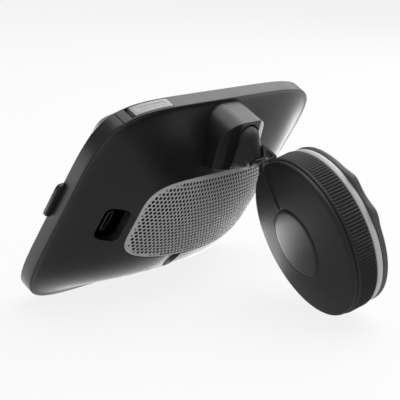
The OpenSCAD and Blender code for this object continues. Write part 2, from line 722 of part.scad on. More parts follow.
module mount_arm() color(case_dark) at_arm() difference() {
    union() {
        rod(0, 0, stem_r, swivel_seat - still_gap, collar_y);
        rod(0, 0, stem_r + 0.3, collar_y, collar_y + collar_t);
        difference() {
            arm_sheet(web_t) polygon([[collar_y, -stem_r], [collar_y, ear_low], ear_root,
                ear_root + [0.1, ear_t / 2], ear_tip - [0.5, -0.4], ear_tip, [ear_tip[0], rim_top], [neck_y + 3, rim_top],
                [neck_y + 3, disc_drop - 0.6], [neck_y + 0.3, disc_drop - 0.2], [neck_y - 1, disc_drop + 0.6],
                [collar_y + 1, disc_drop + 0.2], [collar_y + collar_t, -stem_r]]);
            arm_sheet(web_t + past) polygon([ear_root + [2.5, 0.1], ear_tip - [1, 1], ear_tip - [1, 3.9]]);
        }
        translate([spine_x, 0, 0]) arm_sheet(spine_t) polygon([[neck_y + 2, disc_drop - 0.9], [neck_y + 2, disc_drop],
            [arm_reach - cap_r - 0.5, disc_drop], [arm_reach - cap_r - 0.5, disc_drop - dome_h]]);
    }
    translate([0, arm_reach, disc_drop]) plate_body(still_gap);
    rod(0, 0, screw_r, swivel_seat - past, 2);
}

// Mount disc
function dome_z(r) = -dome_h * (1 - pow(r / dome_r, 2));
// Solid of the face plate without its cap's recess, grown outwards
module plate_body(grow) spin(concat([for (k = [0:8]) [dome_r * k / 8, dome_z(dome_r * k / 8) - grow]],
    [[disc_r + grow, chamfer], [disc_r + grow, plate_side + grow], [0, plate_side + grow]]));

module face_plate() color(case_dark) at_disc() difference() {
    union() {
        difference() {
            plate_body(0);
            spin(concat([for (k = [0:6]) let (r = (dome_r - 2) * k / 6) [r, dome_z(r) + plate_t]],
                [[dome_r - 2, plate_side + past], [0, plate_side + past]]));
        }
        translate([0, 0, dome_z(0) + plate_t]) cylinder(r = boss_out, h = drum_z - dome_z(0) - plate_t);
    }
    translate([0, 0, -dome_h - past]) cylinder(r = cap_r + still_gap, h = cap_floor + dome_h + past);
    translate([0, 0, dome_z(0) + plate_t]) cylinder(r = plunger_r + run_gap, h = lip_end);
    translate([-pin_l, -pin_r - still_gap, pin_z - stem_pull - pin_r - still_gap])
        cube([2 * pin_l, 2 * (pin_r + still_gap), drum_z]);
    for (k = [0:2]) rotate(90 + 120 * k) translate([mount_screw_ring, 0, drum_z - 3])
        cylinder(r = 0.7, h = 4);
}

module centre_cap() color([0.17, 0.17, 0.175]) at_disc() spin(concat(
    [for (k = [0:6]) [cap_r * k / 6, dome_z(cap_r * k / 6) - 0.25]], [[cap_r, cap_floor], [0, cap_floor]]));

module base_drum() color(black) at_disc() difference() {
    translate([0, 0, drum_z]) cylinder(r = ring_r - ring_wall - run_gap, h = drum_t);
    translate([0, 0, drum_z - past]) cylinder(r = plunger_r + run_gap, h = drum_t + 2 * past);
    for (k = [0:2]) rotate(90 + 120 * k) translate([mount_screw_ring, 0, drum_z - past])
        cylinder(r = 0.8, h = drum_t + 2 * past);
}

module mount_screws() color(steel) at_disc() for (k = [0:2]) rotate(90 + 120 * k)
    translate([mount_screw_ring, 0, 0]) {
        translate([0, 0, cup_z]) cylinder(r = 1.1, h = 0.3);
        translate([0, 0, drum_z - 2.6]) cylinder(r = 0.65, h = cup_z - drum_z + 2.6);
    }

// Outline of the lock ring with its ribs, four corners to a rib
function rib_corner(k, turn, r) = let (a = 360 * (k + turn) / ring_ribs) [r * cos(a), r * sin(a)];
module rib_outline() polygon([for (k = [0:ring_ribs - 1]) each [rib_corner(k, 0, ring_r - rib_depth),
    rib_corner(k, 0.12, ring_r), rib_corner(k, 0.5, ring_r), rib_corner(k, 0.62, ring_r - rib_depth)]]);

module lock_ring() color(case_dark) at_disc() {
    translate([0, 0, ring_z]) linear_extrude(ring_h) difference() {
        rib_outline();
        circle(ring_r - ring_wall);
    }
    translate([0, 0, web_ring_z]) linear_extrude(web_ring_t) difference() {
        circle(ring_r - ring_wall + 0.5);
        circle(hub_in);
    }
    for (half = [0, 180]) for (k = [0:ramp_steps - 1]) {
        top = ramp_low - stem_pull * k / ramp_steps;
        rotate(half - lock_turn * (k + 0.5) / ramp_steps - 8) translate([hub_in + 0.2, -cleat_w / 2, top])
            cube([hub_out - hub_in, cleat_w, web_ring_z + web_ring_t / 2 - top]);
    }
}

module cup_stem() color(steel) at_disc() difference() {
    union() {
        translate([0, 0, pin_z - pin_r - 1.4]) cylinder(r = plunger_r, h = foot_level - pin_z + pin_r + 1.4);
        translate([0, 0, foot_level]) cylinder(r = foot_r, h = foot_t);
    }
    translate([0, 0, pin_z]) rotate([0, 90, 0]) cylinder(r = pin_r + 0.02, h = pin_l, center = true);
}

module lift_pin() color(steel) at_disc() translate([0, 0, pin_z]) rotate([0, 90, 0])
    cylinder(r = pin_r, h = pin_l, center = true);

module suction_cup() color(white) at_disc() translate([0, 0, cup_z]) linear_extrude(cup_t) difference() {
    circle(cup_r);
    circle(foot_r + free_gap);
}

module cup_lip() color([0.4, 0.4, 0.4]) at_disc() translate([0, 0, lip_z]) linear_extrude(lip_t) difference() {
    union() {
        circle(cup_r);
        for (s = [-1, 1]) rotate(s * bump_angle) translate([cup_r + bump_proud - bump_r, 0]) circle(bump_r);
    }
    circle(cup_r - lip_w);
}

front_frame();
rear_cover();
speaker_grille();
grille_cloth();
touch_glass();
lcd_panel();
lcd_tray();
tray_screws();
main_board();
board_screws();
display_ribbon();
main_chip();
shield_can();
gps_antenna();
battery_pack();
speaker_box();
speaker_frame();
speaker_cone();
speaker_magnet();
speaker_gasket();
port_cup();
usb_socket();
usb_tongue();
power_button();
power_switch();
side_key();
side_switch();
socket_housing();
socket_screws();
hinge_barrel();
swivel_screw();
mount_arm();
face_plate();
centre_cap();
base_drum();
mount_screws();
lock_ring();
cup_stem();
lift_pin();
suction_cup();
cup_lip();
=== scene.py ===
"""Looks of a portable navigator that stands on its lower edge and its folded-out windscreen mount."""
import json
import math

import bmesh
import bpy
import numpy as np
from mathutils import Matrix, Vector
from mathutils.geometry import delaunay_2d_cdt


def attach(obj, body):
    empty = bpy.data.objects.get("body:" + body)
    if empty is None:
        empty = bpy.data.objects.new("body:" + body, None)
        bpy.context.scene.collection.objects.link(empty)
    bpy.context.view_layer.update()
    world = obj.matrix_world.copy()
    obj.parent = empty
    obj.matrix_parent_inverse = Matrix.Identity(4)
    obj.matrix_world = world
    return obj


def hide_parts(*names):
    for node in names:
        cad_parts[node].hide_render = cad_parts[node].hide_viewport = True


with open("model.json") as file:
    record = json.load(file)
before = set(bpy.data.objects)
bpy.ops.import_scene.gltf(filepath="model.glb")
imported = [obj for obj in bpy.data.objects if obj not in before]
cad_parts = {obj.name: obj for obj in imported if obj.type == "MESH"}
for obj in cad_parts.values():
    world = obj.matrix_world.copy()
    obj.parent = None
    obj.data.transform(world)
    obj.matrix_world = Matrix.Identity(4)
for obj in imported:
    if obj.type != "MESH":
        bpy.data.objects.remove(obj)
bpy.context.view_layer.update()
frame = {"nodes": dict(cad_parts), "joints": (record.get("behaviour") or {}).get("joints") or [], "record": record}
nodes = frame["nodes"]
joints = {j["name"]: j for j in frame["joints"]}

# Sizes in millimetres. The case is drawn upright: X across, Y from the screen to the back, Z up.
# Case: width, height, power of its rounded outline, and points round it
CASE_W, CASE_H, CORNER, TURNS = 121.5, 83.0, 5.9, 256
# Band's rear edge, and the sloping bezel: reach to the front, set-in, edge it starts from, power of the face
BAND, FRONT, BEZEL_IN, EDGE, FACE_POWER = 5.5, 4.1, 8.0, 0.3, 16.0
# Seam between band and cover: set-in of the frame and of the cover, and its floor
SEAM_FRAME, SEAM_COVER, SEAM_Y = 1.15, 1.19, 3.5
# Rear cover: set-in, wall, rise, how far its crown sits below the middle, and the powers of its shape
COVER_IN, COVER_WALL, RISE = 1.2, 2.0, 17.8
CROWN_DROP, CROWN_POWER, SLOPE_POWER, FOOT_POWER = 8.6, 2.3, 2.45, 1.35
# Touch glass, and half of the display's field in metres
GLASS_W, GLASS_H, GLASS_ROUND = 103.0, 65.0, 4
FIELD_X, FIELD_Z = 0.0476, 0.0268
# Grille: width, height, middle, powers of its upper and lower half, holes and sheet
GRILLE_W, GRILLE_H, GRILLE_Z, GRILLE_HIGH, GRILLE_LOW = 72.0, 33.0, 2.0, 4.0, 5.2
HOLE_R, HOLE_PITCH, HOLE_SIDES, SHEET_T = 0.66, 1.7, 12, 0.3
# Port's pocket: middle, width, height, corner
PORT_X, PORT_Z, PORT_W, PORT_H, PORT_ROUND = 43.0, -0.6, 8.4, 13.6, 2.5
# Side key: middle and length
KEY_Z, KEY_L = 3.6, 13.7
# Thumb notch: upper end, height, far side, depth
NOTCH_TOP, NOTCH_H, NOTCH_END, NOTCH_DEEP = -12.6, 15.4, 19.0, 1.7
# Hinge: ball's middle and radius, and the lobe below it: length, taper, lean, room in the cover
BALL, BALL_R = Vector((-1.2, 17.3, 32.26)), 6.2
LOBE_L, LOBE_TAPER, LOBE_LEAN, LOBE_ROOM = 5.0, 0.7, 47.5, 0.5
# Housing: half width, top, corner, tilt of its face
HOUSING_HALF, HOUSING_TOP, HOUSING_ROUND, HOUSING_TILT = 12.6, 40.0, 9.0, 16
# Mount disc: distance from the ball, dome of its face, cap's radius, and the cup's
DISC_REACH, DOME_R, DOME_RISE, CAP_R, CUP_R = 40.65, 27.6, 3.0, 12.5, 28.6


# Where the pieces stand: millimetres of the upright case, the hinge ball, the arm and the disc, to the table
def axes(x, y, z, origin):
    m = Matrix((x, y, z)).transposed().to_4x4()
    return Matrix.Translation(origin) @ m @ Matrix.Scale(0.001, 4)


press = Vector(joints["power_button_press"]["axis"])
lean_angle = math.atan2(-press.y, -press.z)
lean = Matrix.Rotation(-lean_angle, 3, "X")
ball_at = Vector(joints["arm_fold"]["pos_m"])
reach_way = -Vector(joints["arm_twist"]["axis"]).normalized()
grip_way = Vector(joints["lock_ring_turn"]["axis"]).normalized()
side_way = reach_way.cross(grip_way)
UPRIGHT = axes(*[lean.col[k] for k in range(3)], ball_at - lean @ BALL * 0.001)
HINGE = axes(Vector((1, 0, 0)), reach_way, Vector((1, 0, 0)).cross(reach_way), ball_at)
ARM = axes(side_way, reach_way, grip_way, ball_at)
DISC = axes(side_way, reach_way, grip_way, Vector(joints["lock_ring_turn"]["pos_m"]))


# Mesh tools
def round_way(steps, shift=0.0):
    """Cosine and sine of even steps round a circle."""
    angles = [2 * math.pi * (k + shift) / steps for k in range(steps)]
    return [(math.cos(a), math.sin(a)) for a in angles]


def solid(name, verts, faces):
    mesh = bpy.data.meshes.new(name)
    mesh.from_pydata([tuple(v) for v in verts], [], faces)
    bm = bmesh.new()
    bm.from_mesh(mesh)
    bmesh.ops.remove_doubles(bm, verts=bm.verts, dist=1e-5)
    bmesh.ops.recalc_face_normals(bm, faces=bm.faces)
    bm.to_mesh(mesh)
    bm.free()
    obj = bpy.data.objects.new(name, mesh)
    bpy.context.scene.collection.objects.link(obj)
    return obj


def loft(name, rings, joined=False):
    """Skin through rings of equal count, with ends closed, or with the last ring joined to the first."""
    n, rows = len(rings[0]), len(rings)
    faces = []
    for j in range(rows if joined else rows - 1):
        k = (j + 1) % rows
        faces += [(j * n + i, j * n + (i + 1) % n, k * n + (i + 1) % n, k * n + i) for i in range(n)]
    if not joined:
        faces += [tuple(range(n))[::-1], tuple(range((rows - 1) * n, rows * n))]
    return solid(name, [p for ring in rings for p in ring], faces)


def turned(name, profile, steps=192, joined=False):
    """Solid of revolution about Z through (radius, height) points."""
    return loft(name, [[(r * c, r * s, z) for c, s in round_way(steps)] for r, z in profile], joined)


def turned_y(name, profile, steps=128):
    """Solid of revolution about Y through (radius, reach) points."""
    return loft(name, [[(r * c, y, r * s) for c, s in round_way(steps)] for r, y in profile])


def prism(name, outline, y0, y1):
    """An outline in X and Z, drawn out along Y."""
    return loft(name, [[(x, y, z) for x, z in outline] for y in (y0, y1)])


def block(name, low, high):
    corners = [(low[0], low[2]), (high[0], low[2]), (high[0], high[2]), (low[0], high[2])]
    return prism(name, corners, low[1], high[1])


def sphere(name, r, at):
    arc = [math.radians(a) for a in range(0, 181, 4)]
    ball = turned(name, [(r * math.sin(a), -r * math.cos(a)) for a in arc], 96)
    ball.data.transform(Matrix.Translation(at))
    return ball


def tube(name, path, r, sides=8):
    """A thin round bar through points."""
    rings = []
    for k, p in enumerate(path):
        ahead = Vector(path[min(k + 1, len(path) - 1)]) - Vector(path[max(k - 1, 0)])
        a = ahead.orthogonal().normalized()
        b = ahead.cross(a).normalized()
        rings.append([tuple(Vector(p) + r * (c * a + s * b)) for c, s in round_way(sides)])
    return loft(name, rings)


def bake(obj):
    bpy.context.view_layer.update()
    mesh = bpy.data.meshes.new_from_object(obj.evaluated_get(bpy.context.evaluated_depsgraph_get()))
    obj.modifiers.clear()
    obj.data = mesh
    return obj


def carve(obj, *cutters, how="DIFFERENCE"):
    for cutter in cutters:
        tool = obj.modifiers.new("carve", "BOOLEAN")
        tool.operation, tool.object, tool.solver = how, cutter, "EXACT"
        bake(obj)
        bpy.data.objects.remove(cutter)
    return obj


def soften(obj, grain, passes):
    """Rounds every edge of a solid: fine remesh, then smoothing."""
    melt = obj.modifiers.new("melt", "REMESH")
    melt.mode, melt.voxel_size = "VOXEL", grain
    even = obj.modifiers.new("even", "SMOOTH")
    even.factor, even.iterations = 0.5, passes
    return bake(obj)


def rounded_edges(obj, width, segments=3, angle=35):
    edge = obj.modifiers.new("edge", "BEVEL")
    edge.width, edge.segments, edge.limit_method = width, segments, "ANGLE"
    edge.angle_limit = math.radians(angle)
    return bake(obj)


def join(first, *others):
    bm = bmesh.new()
    for o in (first, *others):
        bm.from_mesh(o.data)
    bm.to_mesh(first.data)
    bm.free()
    for o in others:
        bpy.data.objects.remove(o)
    return first


def settle(obj, place, body, slot, *stands_for, sharp=32):
    """Puts a finished piece in its place, on its body, in its finish."""
    obj.data.transform(place)
    obj.data.shade_smooth()
    obj.data.set_sharp_from_angle(angle=math.radians(sharp))
    obj.data.materials.clear()
    obj.data.materials.append(finishes[slot])
    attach(obj, body)
    if stands_for:
        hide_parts(*stands_for)
    return obj


# Case outline and cover shape
def outline(inset=0.0, power=CORNER, w=CASE_W, h=CASE_H, count=TURNS):
    a = 2 * np.pi * (np.arange(count) + 0.5) / count
    r = (np.abs(np.cos(a)) ** power + np.abs(np.sin(a)) ** power) ** (-1 / power)
    return np.stack([(w / 2 - inset) * r * np.cos(a), (h / 2 - inset) * r * np.sin(a)], 1)


def outline_ring(inset, y, power=CORNER):
    return [(x, y, z) for x, z in outline(inset, power)]


def bezel_ring(t, sink=0.0):
    """Ring on the sloping bezel, from the band's front edge at 0 to the rim of the face at 1."""
    edge, rim = np.array(outline_ring(0, EDGE)), np.array(outline_ring(BEZEL_IN, -FRONT, FACE_POWER))
    return [tuple(p) for p in edge + (rim - edge) * t + np.array((0, sink, 0))]


def rounded_ring(w, h, r, y, count=TURNS):
    """A rounded rectangle with its points at the outline's own angles."""
    way = outline(count=count)
    low, high = np.zeros(count), np.ones(count) * 2
    for _ in range(40):
        t = (low + high) / 2
        q = np.abs(way) * t[:, None] - np.array([w / 2 - r, h / 2 - r])
        d = np.hypot(*np.maximum(q, 0).T) + np.minimum(q.max(1), 0) - r
        low, high = np.where(d < 0, t, low), np.where(d < 0, high, t)
    return [(x * t, y, z * t) for (x, z), t in zip(way, low)]


def contour_power(s):
    return CROWN_POWER + (CORNER - CROWN_POWER) * s * s


def crown_height(s):
    return RISE * (1 - np.asarray(s) ** SLOPE_POWER) ** FOOT_POWER


def contour(s, inset, y):
    """One level of the dome: 1 at its foot, 0 at its crown."""
    return [(s * x, y, s * z - CROWN_DROP * (1 - s)) for x, z in outline(inset, contour_power(s))]


def cover_y(x, z):
    """Depth of the rear cover's outer face."""
    x, z = np.asarray(x, float), np.asarray(z, float)
    low, high = np.zeros(np.broadcast(x, z).shape), np.ones(np.broadcast(x, z).shape)
    w, h = CASE_W / 2 - COVER_IN, CASE_H / 2 - COVER_IN
    for _ in range(30):
        s = (low + high) / 2
        n = contour_power(s)
        held = np.abs(x / w) ** n + np.abs((z + CROWN_DROP * (1 - s)) / h) ** n < s ** n
        low, high = np.where(held, low, s), np.where(held, s, high)
    return BAND + crown_height(high)


def rounded_outline(cx, cz, w, h, r, corner=10):
    pts = []
    for sx, sz, a0 in ((1, 1, 0), (-1, 1, 90), (-1, -1, 180), (1, -1, 270)):
        for k in range(corner + 1):
            a = math.radians(a0 + 90 * k / corner)
            pts.append((cx + sx * (w / 2 - r) + r * math.cos(a), cz + sz * (h / 2 - r) + r * math.sin(a)))
    return pts


# Finishes
def socket(tree, name, way, kind="NodeSocketFloat", value=None):
    s = tree.interface.new_socket(name, in_out=way, socket_type=kind)
    if value is not None:
        s.default_value = value


def add(tree, kind, **values):
    n = tree.nodes.new(kind)
    for k, v in values.items():
        if k in n.inputs:
            n.inputs[k].default_value = v
        else:
            setattr(n, k.lower(), v)
    return n


def span(tree, start, end, low=0.0, high=1.0):
    """Maps start to end onto low to high."""
    n = add(tree, "ShaderNodeMapRange")
    for name, value in (("From Min", start), ("From Max", end), ("To Min", low), ("To Max", high)):
        n.inputs[name].default_value = value
    return n


def moulded_grain():
    """Fine spark-eroded grain of a mould: a height for bump, and a fleck mask."""
    g = bpy.data.node_groups.new("moulded_grain", "ShaderNodeTree")
    socket(g, "Grain", "INPUT", value=2600.0)
    socket(g, "Height", "OUTPUT")
    socket(g, "Fleck", "OUTPUT")
    given, out = g.nodes.new("NodeGroupInput"), g.nodes.new("NodeGroupOutput")
    at = add(g, "ShaderNodeTexCoord")
    pits = add(g, "ShaderNodeTexNoise", Detail=3.0, Roughness=0.6)
    cells = add(g, "ShaderNodeTexVoronoi", feature="SMOOTH_F1")
    blend = add(g, "ShaderNodeMath", operation="MULTIPLY_ADD")
    blend.inputs[1].default_value = 0.6
    flecks = span(g, 0.52, 0.72)
    for n in (pits, cells):
        g.links.new(at.outputs["Object"], n.inputs["Vector"])
        g.links.new(given.outputs["Grain"], n.inputs["Scale"])
    g.links.new(cells.outputs["Distance"], blend.inputs[0])
    g.links.new(pits.outputs["Fac"], blend.inputs[2])
    g.links.new(pits.outputs["Fac"], flecks.inputs["Value"])
    g.links.new(blend.outputs[0], out.inputs["Height"])
    g.links.new(flecks.outputs["Result"], out.inputs["Fleck"])
    return g


def handling():
    """Patches where hands have polished or dulled a surface, and fine scuffs."""
    g = bpy.data.node_groups.new("handling", "ShaderNodeTree")
    socket(g, "Patch", "INPUT", value=45.0)
    socket(g, "Smudge", "OUTPUT")
    socket(g, "Scuff", "OUTPUT")
    given, out = g.nodes.new("NodeGroupInput"), g.nodes.new("NodeGroupOutput")
    at = add(g, "ShaderNodeTexCoord")
    cloud = add(g, "ShaderNodeTexNoise", Detail=4.0, Roughness=0.55, Distortion=0.6)
    stretch = add(g, "ShaderNodeMapping")
    stretch.inputs["Scale"].default_value = (1.0, 7.0, 4.0)
    stretch.inputs["Rotation"].default_value = (0.4, 0.3, 0.7)
    hair = add(g, "ShaderNodeTexNoise", Scale=160.0, Detail=5.0, Roughness=0.7)
    thin = span(g, 0.66, 0.74)
    g.links.new(at.outputs["Object"], cloud.inputs["Vector"])
    g.links.new(given.outputs["Patch"], cloud.inputs["Scale"])
    g.links.new(at.outputs["Object"], stretch.inputs["Vector"])
    g.links.new(stretch.outputs[0], hair.inputs["Vector"])
    g.links.new(hair.outputs["Fac"], thin.inputs["Value"])
    g.links.new(cloud.outputs["Fac"], out.inputs["Smudge"])
    g.links.new(thin.outputs["Result"], out.inputs["Scuff"])
    return g


GRAIN, HANDLED = moulded_grain(), handling()


def finish(name, dark, light, rough, grain=2600.0, relief=0.25, metal=0.0, coat=0.0, patch=45.0, scuff=0.04):
    """A procedural finish: two close colours, uneven roughness, moulded grain and light scuffs."""
    m = bpy.data.materials.new(name)
    m.use_nodes = True
    t = m.node_tree
    skin = t.nodes["Principled BSDF"]
    skin.inputs["Metallic"].default_value = metal
    skin.inputs["Coat Weight"].default_value = coat
    skin.inputs["Coat Roughness"].default_value = 0.12
    skin.inputs["IOR"].default_value = 1.5
    fine = add(t, "ShaderNodeGroup")
    fine.node_tree = GRAIN
    fine.inputs["Grain"].default_value = grain
    worn = add(t, "ShaderNodeGroup")
    worn.node_tree = HANDLED
    worn.inputs["Patch"].default_value = patch
    tint = add(t, "ShaderNodeMix", data_type="RGBA")
    tint.inputs["A"].default_value = (*dark, 1)
    tint.inputs["B"].default_value = (*light, 1)
    share = add(t, "ShaderNodeMath", operation="MULTIPLY_ADD")
    share.inputs[1].default_value = 0.5
    rub = add(t, "ShaderNodeMix", data_type="RGBA")
    rub.inputs["B"].default_value = (*[min(1, 2.2 * c + 0.02) for c in light], 1)
    rub_share = add(t, "ShaderNodeMath", operation="MULTIPLY")
    rub_share.inputs[1].default_value = scuff
    gloss = span(t, 0.3, 0.7, *rough)
    dent = add(t, "ShaderNodeBump", Strength=relief, Distance=0.00012)
    t.links.new(fine.outputs["Fleck"], share.inputs[0])
    t.links.new(worn.outputs["Smudge"], share.inputs[2])
    t.links.new(share.outputs[0], tint.inputs["Factor"])
    t.links.new(tint.outputs["Result"], rub.inputs["A"])
    t.links.new(worn.outputs["Scuff"], rub_share.inputs[0])
    t.links.new(rub_share.outputs[0], rub.inputs["Factor"])
    t.links.new(rub.outputs["Result"], skin.inputs["Base Color"])
    t.links.new(worn.outputs["Smudge"], gloss.inputs["Value"])
    t.links.new(gloss.outputs["Result"], skin.inputs["Roughness"])
    t.links.new(fine.outputs["Height"], dent.inputs["Height"])
    t.links.new(dent.outputs["Normal"], skin.inputs["Normal"])
    return m


def screen_finish():
    """Black-backed touch glass with the paler field of a switched-off display."""
    m = finish("screen_glass", (0.006, 0.006, 0.007), (0.009, 0.009, 0.01), (0.04, 0.09),
               relief=0.0, coat=0.6, patch=70.0, scuff=0.0)
    t = m.node_tree
    skin = t.nodes["Principled BSDF"]
    old = skin.inputs["Base Color"].links[0].from_socket
    at = add(t, "ShaderNodeTexCoord")
    split = add(t, "ShaderNodeSeparateXYZ")
    middle = UPRIGHT @ Vector((0, -FRONT, 0))
    inside = []
    t.links.new(at.outputs["Object"], split.inputs[0])
    for axis, mid, half in (("X", middle.x, FIELD_X), ("Z", middle.z, FIELD_Z * math.cos(lean_angle))):
        off = add(t, "ShaderNodeMath", operation="SUBTRACT")
        off.inputs[1].default_value = mid
        size = add(t, "ShaderNodeMath", operation="ABSOLUTE")
        under = add(t, "ShaderNodeMath", operation="LESS_THAN")
        under.inputs[1].default_value = half
        t.links.new(split.outputs[axis], off.inputs[0])
        t.links.new(off.outputs[0], size.inputs[0])
        t.links.new(size.outputs[0], under.inputs[0])
        inside.append(under)
    both = add(t, "ShaderNodeMath", operation="MULTIPLY")
    t.links.new(inside[0].outputs[0], both.inputs[0])
    t.links.new(inside[1].outputs[0], both.inputs[1])
    field = add(t, "ShaderNodeMix", data_type="RGBA")
    field.inputs["B"].default_value = (0.021, 0.023, 0.026, 1)
    t.links.new(both.outputs[0], field.inputs["Factor"])
    t.links.new(old, field.inputs["A"])
    t.links.new(field.outputs["Result"], skin.inputs["Base Color"])
    return m


def grey(v):
    return (v, v, v)


finishes = {
    "frame_plastic": finish("frame_plastic", grey(0.018), grey(0.027), (0.32, 0.42), relief=0.18),
    "case_plastic": finish("case_plastic", grey(0.0095), grey(0.015), (0.30, 0.38), relief=0.22),
    "grille_grey": finish("grille_grey", grey(0.54), grey(0.648), (0.45, 0.58), relief=0.12, scuff=0.0),
    "dust_cloth": finish("dust_cloth", grey(0.004), grey(0.008), (0.85, 0.95),
                         grain=5200.0, relief=0.5, scuff=0.0),
    "screen_glass": screen_finish(),
    "display_module": finish("display_module", grey(0.04), grey(0.055), (0.25, 0.35), relief=0.05),
    "sheet_steel": finish("sheet_steel", grey(0.50), grey(0.58), (0.22, 0.34),
                          grain=1500.0, relief=0.06, metal=1.0),
    "circuit_board": finish("circuit_board", (0.008, 0.05, 0.025), (0.012, 0.075, 0.035),
                            (0.3, 0.42), relief=0.1),
    "ribbon_amber": finish("ribbon_amber", (0.38, 0.16, 0.02), (0.48, 0.22, 0.04), (0.25, 0.35), relief=0.04),
    "black_plastic": finish("black_plastic", grey(0.008), grey(0.014), (0.42, 0.55), relief=0.2),
    "ceramic_patch": finish("ceramic_patch", (0.45, 0.4, 0.31), (0.54, 0.49, 0.39), (0.5, 0.6), relief=0.15),
    "battery_foil": finish("battery_foil", grey(0.32), grey(0.4), (0.3, 0.45),
                           grain=900.0, relief=0.2, metal=0.8),
    "black_foam": finish("black_foam", grey(0.008), grey(0.016), (0.85, 0.95),
                         grain=1400.0, relief=0.8, scuff=0.0),
    "button_silver": finish("button_silver", grey(0.30), grey(0.36), (0.30, 0.40),
                            grain=4200.0, relief=0.08, coat=0.15),
    "mount_plastic": finish("mount_plastic", grey(0.015), grey(0.023), (0.46, 0.56), relief=0.22),
    "cap_plastic": finish("cap_plastic", grey(0.015), grey(0.022), (0.30, 0.38), relief=0.12),
    "cup_white": finish("cup_white", grey(0.62), grey(0.70), (0.35, 0.45),
                        grain=1800.0, relief=0.05, scuff=0.0),
    "lip_grey": finish("lip_grey", grey(0.085), grey(0.115), (0.40, 0.52), grain=1800.0, relief=0.08),
}
for part in frame["record"]["subparts"]:
    shown = nodes[part["node"]].data
    shown.materials.clear()
    shown.materials.append(finishes[part["material_slot"]])


# Case
def button_cut():
    return block("button_cut", (29.8, 0.65, 33.5), (49.7, 5.15, 44.0))


def front_frame():
    """Bezel and side band, with the slots of button and key and a groove across the band."""
    rings = [rounded_ring(GLASS_W + 0.2 + 2 * g, GLASS_H + 0.2 + 2 * g, GLASS_ROUND + g, y)
             for g, y in ((0, -3.2), (0, -3.85), (0.1, -4.0), (0.3, -FRONT))]
    rings += [bezel_ring(t) for t in (0.99, 0.93, 0.7, 0.45, 0.2, 0.06)] + [bezel_ring(0.02, 0.02)]
    band = [(0, 0.4), (0, 0.6), (0, 2.5), (0, 4.6), (0.02, 5.2), (0.08, 5.42), (0.22, BAND)]
    seam = [(SEAM_FRAME, BAND), (SEAM_FRAME, SEAM_Y)]
    inner = [(2.2, SEAM_Y), (2.2, 0.2), (7.3, -2.4)]
    rings += [outline_ring(inset, y) for inset, y in band + seam + inner]
    body = loft("front_frame_shell", rings, joined=True)
    carve(body, button_cut())
    groove = block("groove_cut", (-0.17, 0.5, -1.2), (0.17, 7.0, 1.2))
    groove.data.transform(Matrix.Translation((53.2, 0, 38.2)) @ Matrix.Rotation(math.radians(30), 4, "Y"))
    carve(body, groove)
    carve(body, block("key_cut", (57.5, -0.45, KEY_Z - 7.0), (66.0, 1.45, KEY_Z + 7.0)))
    return settle(body, UPRIGHT, "navigator", "frame_plastic", "front_frame")


def grille_outline(grow, count=160):
    high, low = (outline(-grow, p, GRILLE_W, GRILLE_H, count) for p in (GRILLE_HIGH, GRILLE_LOW))
    return [(a[0], a[1] + GRILLE_Z) if a[1] > 0 else (b[0], b[1] + GRILLE_Z) for a, b in zip(high, low)]


def grille_share(x, z, draw=0.0):
    """1 on the grille's outline drawn in, less inside it."""
    p = GRILLE_HIGH if z > 0 else GRILLE_LOW
    return (abs(x / (GRILLE_W / 2 - draw)) ** p + abs(z / (GRILLE_H / 2 - draw)) ** p) ** (1 / p)


def notch_wall(z):
    """The curved wall that the thumb notch ends at."""
    return float(np.interp(z, (-28.0, -25.0, -20.6, -17.2, -13.9), (2.6, 4.2, 6.1, 6.5, 6.6)))


def notch_depth(x, z):
    """Depth of the thumb notch: steepest at its curved wall, run out at its far end."""
    down, out = (NOTCH_TOP - z) / NOTCH_H, (x - notch_wall(z)) / (NOTCH_END - notch_wall(z))
    sag = math.sin(math.pi * min(1.0, max(0.0, 0.12 + down))) ** 0.6
    return NOTCH_DEEP * max(0.0, 1 - out) ** 1.6 * sag


def thumb_scoop():
    """Cutter for the thumb notch."""
    cols, rows = 18, 16
    top, floor = [], []
    for i in range(cols + 1):
        for j in range(rows + 1):
            z = NOTCH_TOP - NOTCH_H * j / rows
            x = notch_wall(z) + (NOTCH_END - notch_wall(z)) * i / cols
            y = float(cover_y(x, z))
            top.append((x, y + 4, z))
            floor.append((x, y + 0.02 - notch_depth(x, z) + 0.05 * i / cols, z))
    n = rows + 1
    off = len(top)
    faces = []
    for i in range(cols):
        for j in range(rows):
            a = i * n + j
            faces += [(a, a + 1, a + n + 1, a + n), (off + a, off + a + n, off + a + n + 1, off + a + 1)]
    edge = [i * n for i in range(cols + 1)] + [cols * n + j for j in range(1, n)]
    edge += [i * n + rows for i in range(cols - 1, -1, -1)] + list(range(rows - 1, 0, -1))
    for k, a in enumerate(edge):
        b = edge[(k + 1) % len(edge)]
        faces.append((a, b, off + b, off + a))
    return solid("scoop_cut", top + floor, faces)


def grip_lines():
    """Cutters for the fine lines beside the thumb notch."""
    steps = 8
    lines = []
    for (x0, z0), (x1, z1) in (((14.1, -15.2), (16.8, -18.0)), ((11.6, -18.8), (17.2, -19.9)),
                               ((10.3, -21.3), (16.8, -23.3)), ((8.0, -23.6), (14.6, -26.0))):
        path = []
        for k in range(steps + 1):
            x, z = x0 + (x1 - x0) * k / steps, z0 + (z1 - z0) * k / steps
            lift = 0.0 if 0 < k < steps else 0.25
            path.append((x, float(cover_y(x, z)) - notch_depth(x, z) + lift, z))
        lines.append(tube("line_cut", path, 0.3))
    return lines


def lobe_part(t, swing=0.0, room=0.0):
    """One sphere of the hinge's hanging lobe, t from the ball's middle (0) to the lobe's (1)."""
    way = Matrix.Rotation(math.radians(-LOBE_LEAN - swing), 4, "X") @ Vector((0, LOBE_L * t, 0))
    return sphere("lobe", BALL_R - LOBE_TAPER * t + room, way)


